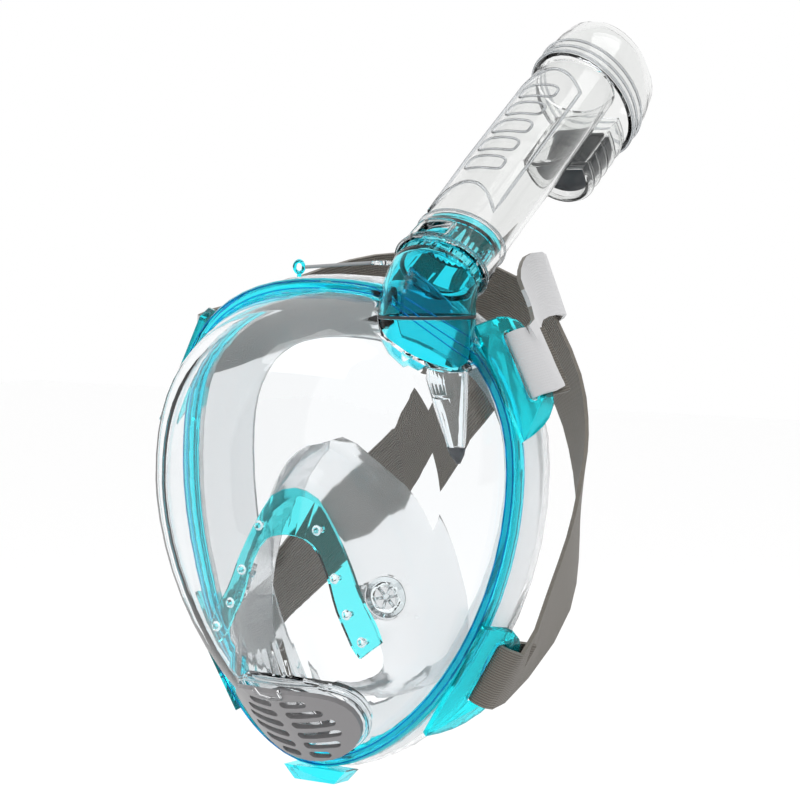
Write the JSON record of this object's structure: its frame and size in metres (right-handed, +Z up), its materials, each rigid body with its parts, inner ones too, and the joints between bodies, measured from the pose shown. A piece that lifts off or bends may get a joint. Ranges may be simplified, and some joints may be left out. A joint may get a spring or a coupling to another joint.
{
  "type": "snorkel mask",
  "caption": "Full-face snorkelling mask with clear domed lens, aqua frame, silicone face seal, chin purge valve, side-mounted dry-top snorkel and crossed head straps.",
  "frame": {"origin": "centre of the face seal, in the plane of the rim frame", "axes": "+X wearer's left, -Y the way the wearer looks, +Z up as worn"},
  "size_m": [0.212, 0.2013, 0.3352],
  "materials": {
    "clear_shell": "clear polished polycarbonate",
    "aqua_shell": "tinted translucent polycarbonate",
    "silicone": "milky clear soft silicone",
    "grille": "fine matt moulded",
    "seal": "black satin",
    "webbing": "woven ribbed elastic",
    "cord": "braided",
    "float": "matt"
  },
  "bodies": {
    "mask": {"lens_shield": "clear_shell", "rim_frame": "aqua_shell", "face_skirt": "silicone", "orinasal_pocket": "silicone", "pocket_frame": "aqua_shell", "purge_valve_seat": "grille", "purge_cover": "grille", "purge_plate": "clear_shell", "chin_bumper": "aqua_shell", "socket_base": "aqua_shell", "socket_seal": "seal", "socket_elbow": "aqua_shell", "elbow_divider": "aqua_shell", "duct_wedge": "clear_shell", "duct_tip": "float", "leash_anchor": "aqua_shell", "leash_cord": "cord", "neck_o_ring": "seal", "pocket_rivet_left_1": "clear_shell", "pocket_rivet_left_2": "clear_shell", "pocket_rivet_left_3": "clear_shell", "pocket_rivet_left_4": "clear_shell", "inhale_valve_seat_left": "grille", "upper_lug_left": "aqua_shell", "lower_lug_left": "aqua_shell", "strap_left": "webbing", "pocket_rivet_right_1": "clear_shell", "pocket_rivet_right_2": "clear_shell", "pocket_rivet_right_3": "clear_shell", "pocket_rivet_right_4": "clear_shell", "inhale_valve_seat_right": "grille", "upper_lug_right": "aqua_shell", "lower_lug_right": "aqua_shell", "strap_right": "webbing"},
    "snorkel": {"snorkel_tube": "clear_shell", "top_cap": "clear_shell", "float_housing": "clear_shell", "leash_hook": "clear_shell"},
    "latch": {"latch_button": "clear_shell"},
    "float": {"dry_top_float": "float"},
    "purge_disc": {"purge_flap": "silicone"},
    "inhale_disc_left": {"inhale_flap_left": "silicone"},
    "inhale_disc_right": {"inhale_flap_right": "silicone"}
  },
  "joints": [
    {"name": "snorkel_pull", "type": "slide", "parent": "mask", "child": "snorkel", "axis": [0, 0.788, 0.6157], "range_m": [0, 0.05]},
    {"name": "latch_press", "type": "slide", "parent": "mask", "child": "latch", "axis": [0, 0.6157, -0.788], "range_m": [0, 0.0018], "stiffness_N_per_m": 200, "springref_m": -0.001},
    {"name": "float_rise", "type": "slide", "parent": "snorkel", "child": "float", "axis": [0, 0.788, 0.6157], "range_m": [0, 0.009]},
    {"name": "purge_lift", "type": "slide", "parent": "mask", "child": "purge_disc", "axis": [0, -0.766, -0.6428], "range_m": [0, 0.001], "stiffness_N_per_m": 20, "springref_m": -0.001},
    {"name": "inhale_lift_left", "type": "slide", "parent": "mask", "child": "inhale_disc_left", "axis": [-0.7647, 0.5272, -0.3706], "range_m": [0, 0.001], "stiffness_N_per_m": 20, "springref_m": -0.001},
    {"name": "inhale_lift_right", "type": "slide", "parent": "mask", "child": "inhale_disc_right", "axis": [0.7647, 0.5272, -0.3706], "range_m": [0, 0.001], "stiffness_N_per_m": 20, "springref_m": -0.001}
  ]
}
